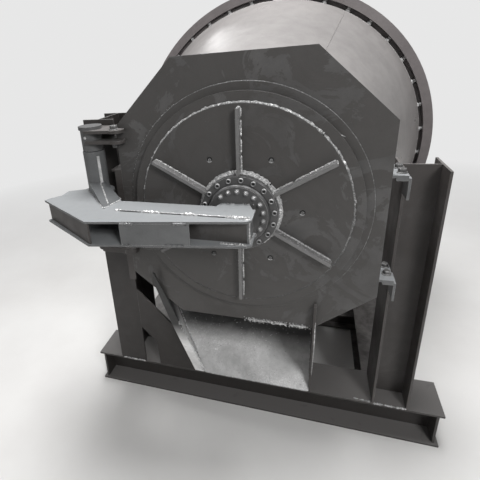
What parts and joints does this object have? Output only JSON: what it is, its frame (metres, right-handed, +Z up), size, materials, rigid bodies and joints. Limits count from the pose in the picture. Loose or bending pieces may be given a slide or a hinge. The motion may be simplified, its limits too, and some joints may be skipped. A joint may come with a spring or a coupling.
{
  "type": "ball mill",
  "caption": "Dry ball mill: double-cone drum with a middle ring between two end plates on columns, closed by a ribbed round cover on a swing arm.",
  "frame": {"origin": "floor level, under the middle of the front base beam", "axes": "+X right seen from the covered end, +Y from the covered end to the rear, +Z up"},
  "size_m": [1.8, 2.791, 2.0678],
  "materials": {
    "dark_paint": "satin",
    "drum_paint": "satin",
    "arm_paint": "satin",
    "frame_paint": "satin",
    "worn_steel": "satin"
  },
  "bodies": {
    "frame": {"front_base_beam": "frame_paint", "rear_base_beam": "frame_paint", "left_side_beam": "frame_paint", "right_side_beam": "frame_paint", "cross_beam": "frame_paint", "front_left_column": "frame_paint", "front_right_column": "frame_paint", "rear_left_column": "frame_paint", "rear_right_column": "frame_paint", "left_brace": "frame_paint", "front_end_plate": "dark_paint", "seat_ring": "dark_paint", "front_bearing_ring": "dark_paint", "rear_end_plate": "dark_paint", "rear_bearing_ring": "dark_paint", "left_brackets": "frame_paint", "right_brackets": "frame_paint", "rear_brackets": "frame_paint", "chute_floor": "worn_steel", "chute_left_wall": "frame_paint", "chute_right_wall": "frame_paint", "hinge_upper_lugs": "frame_paint", "hinge_lower_lug": "frame_paint", "hinge_post": "arm_paint", "hinge_pin": "worn_steel"},
    "drum": {"drum_front_neck": "drum_paint", "drum_front_cone": "drum_paint", "drum_middle_band": "drum_paint", "drum_ring": "drum_paint", "drum_rear_cone": "drum_paint", "drum_rear_neck": "drum_paint", "drum_rear_disc": "drum_paint"},
    "arm": {"arm_top_plate": "arm_paint", "arm_bottom_plate": "arm_paint", "arm_inner_web": "arm_paint", "arm_front_plate": "arm_paint", "arm_end_plate": "arm_paint", "arm_tail_web": "arm_paint", "sleeve_gusset": "arm_paint", "hinge_sleeve": "arm_paint", "bearing_cover": "arm_paint"},
    "cover": {"cover_ring": "dark_paint", "cover_disc": "dark_paint", "cover_ribs": "dark_paint", "hub_flange": "dark_paint"}
  },
  "joints": [
    {"name": "drum_spin", "type": "hinge", "parent": "frame", "child": "drum", "pos_m": [0, 1.035, 1.168], "axis": [0, 1, 0], "continuous": true},
    {"name": "arm_swing", "type": "hinge", "parent": "frame", "child": "arm", "pos_m": [-0.632, -0.18, 1.168], "axis": [0, 0, -1], "range_deg": [0, 50]},
    {"name": "cover_spin", "type": "hinge", "parent": "arm", "child": "cover", "pos_m": [0, -0.18, 1.168], "axis": [0, 1, 0], "continuous": true}
  ]
}
